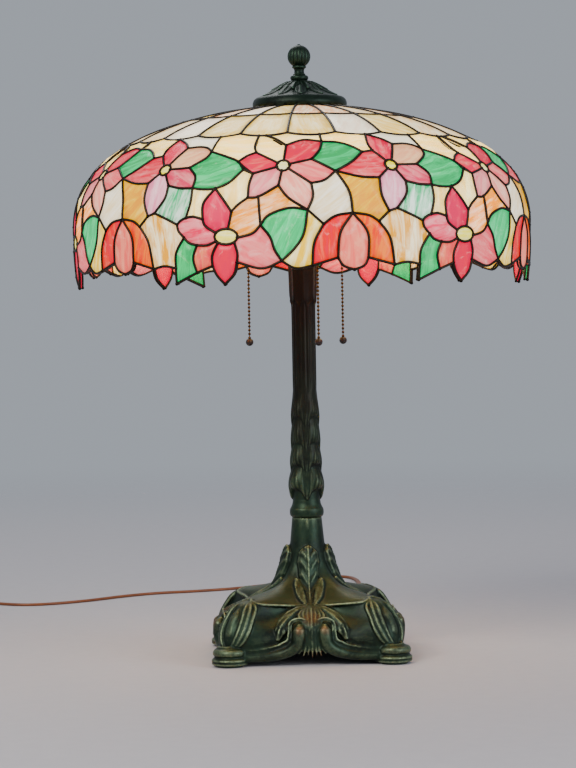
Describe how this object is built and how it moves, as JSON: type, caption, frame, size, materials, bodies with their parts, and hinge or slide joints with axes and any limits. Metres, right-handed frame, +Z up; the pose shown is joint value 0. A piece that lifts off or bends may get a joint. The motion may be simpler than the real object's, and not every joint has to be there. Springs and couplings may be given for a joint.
{
  "type": "stained glass table lamp",
  "caption": "Table lamp with a domed floral leaded-glass shade, pull-chain sockets and a cast footed base with a leafy column, on a free mains cord.",
  "frame": {"origin": "on the table under the middle of the column", "axes": "+Z up along the column, -Y to the front, +X to the right seen from the front"},
  "size_m": [0.7022, 0.9695, 0.616],
  "materials": {
    "bronze_base": "cast, dark green verdigris bronze with coppery wear on the high points",
    "bronze_cap": "spun and cast, dark green bronze patina",
    "iron": "rough cast",
    "felt": "pressed felt",
    "steel": "zinc-plated threaded pipe",
    "brass": "aged, lightly tarnished",
    "glass_cream": "opalescent sheet glass, cream to amber, in dark solder lines",
    "glass_blossom": "opalescent sheet glass, pink, green and cream, in dark solder lines",
    "bulb": "frosted lamp bulb",
    "cord": "brown two-core cord",
    "phenolic": "moulded dark brown"
  },
  "bodies": {
    "stand": {"base_casting": "bronze_base", "base_weight": "iron", "base_washer": "steel", "base_locknut": "steel", "bottom_cover": "felt", "foot_felt_1": "felt", "foot_felt_2": "felt", "foot_felt_3": "felt", "foot_felt_4": "felt", "tie_rod": "steel", "column_casting": "bronze_base", "column_cap_ring": "brass", "socket_cluster_body": "brass", "riser_rod": "steel", "shade_wheel": "brass", "cord_bushing": "phenolic", "lamp_cord": "cord", "cord_coil": "cord", "mains_plug": "phenolic", "socket_nipple_1": "brass", "socket_cap_1": "brass", "socket_shell_1": "brass", "chain_bell_1": "brass", "socket_nipple_2": "brass", "socket_cap_2": "brass", "socket_shell_2": "brass", "chain_bell_2": "brass", "socket_nipple_3": "brass", "socket_cap_3": "brass", "socket_shell_3": "brass", "chain_bell_3": "brass"},
    "shade": {"shade_top_ring": "brass", "crown_glass_upper": "glass_cream", "crown_glass_lower": "glass_cream", "floral_panel_1": "glass_blossom", "floral_panel_2": "glass_blossom", "floral_panel_3": "glass_blossom", "floral_panel_4": "glass_blossom", "floral_panel_5": "glass_blossom", "floral_panel_6": "glass_blossom", "heat_cap": "bronze_cap"},
    "finial": {"finial": "bronze_cap"},
    "bulb_1": {"bulb_glass_1": "bulb", "bulb_screw_base_1": "brass"},
    "pull_1": {"pull_link_1": "brass"},
    "chain_1": {"pull_chain_1": "brass", "pull_ball_1": "phenolic"},
    "bulb_2": {"bulb_glass_2": "bulb", "bulb_screw_base_2": "brass"},
    "pull_2": {"pull_link_2": "brass"},
    "chain_2": {"pull_chain_2": "brass", "pull_ball_2": "phenolic"},
    "bulb_3": {"bulb_glass_3": "bulb", "bulb_screw_base_3": "brass"},
    "pull_3": {"pull_link_3": "brass"},
    "chain_3": {"pull_chain_3": "brass", "pull_ball_3": "phenolic"}
  },
  "joints": [
    {"name": "shade_turn", "type": "hinge", "parent": "stand", "child": "shade", "pos_m": [0, 0, 0.55], "axis": [0, 0, 1], "continuous": true},
    {"name": "finial_screw", "type": "hinge", "parent": "stand", "child": "finial", "pos_m": [0, 0, 0.6], "axis": [0, 0, 1], "continuous": true},
    {"name": "bulb_1_screw", "type": "hinge", "parent": "stand", "child": "bulb_1", "pos_m": [0.0225, -0.09744, 0.452], "axis": [0.225, -0.9744, 0], "continuous": true},
    {"name": "chain_1_pull", "type": "slide", "parent": "stand", "child": "pull_1", "axis": [0, 0, -1], "range_m": [0, 0.01], "stiffness_N_per_m": 300, "springref_m": -0.003},
    {"name": "chain_1_swing", "type": "hinge", "parent": "pull_1", "child": "chain_1", "pos_m": [0.01282, -0.05554, 0.4146], "axis": [0.9744, 0.225, 0], "range_deg": [-20, 20]},
    {"name": "bulb_2_screw", "type": "hinge", "parent": "stand", "child": "bulb_2", "pos_m": [0.07314, 0.0682, 0.452], "axis": [0.7314, 0.682, 0], "continuous": true},
    {"name": "chain_2_pull", "type": "slide", "parent": "stand", "child": "pull_2", "axis": [0, 0, -1], "range_m": [0, 0.01], "stiffness_N_per_m": 300, "springref_m": -0.003},
    {"name": "chain_2_swing", "type": "hinge", "parent": "pull_2", "child": "chain_2", "pos_m": [0.04169, 0.03887, 0.4146], "axis": [-0.682, 0.7314, 0], "range_deg": [-20, 20]},
    {"name": "bulb_3_screw", "type": "hinge", "parent": "stand", "child": "bulb_3", "pos_m": [-0.09563, 0.02924, 0.452], "axis": [-0.9563, 0.2924, 0], "continuous": true},
    {"name": "chain_3_pull", "type": "slide", "parent": "stand", "child": "pull_3", "axis": [0, 0, -1], "range_m": [0, 0.01], "stiffness_N_per_m": 300, "springref_m": -0.003},
    {"name": "chain_3_swing", "type": "hinge", "parent": "pull_3", "child": "chain_3", "pos_m": [-0.05451, 0.01666, 0.4146], "axis": [-0.2924, -0.9563, 0], "range_deg": [-20, 20]}
  ]
}
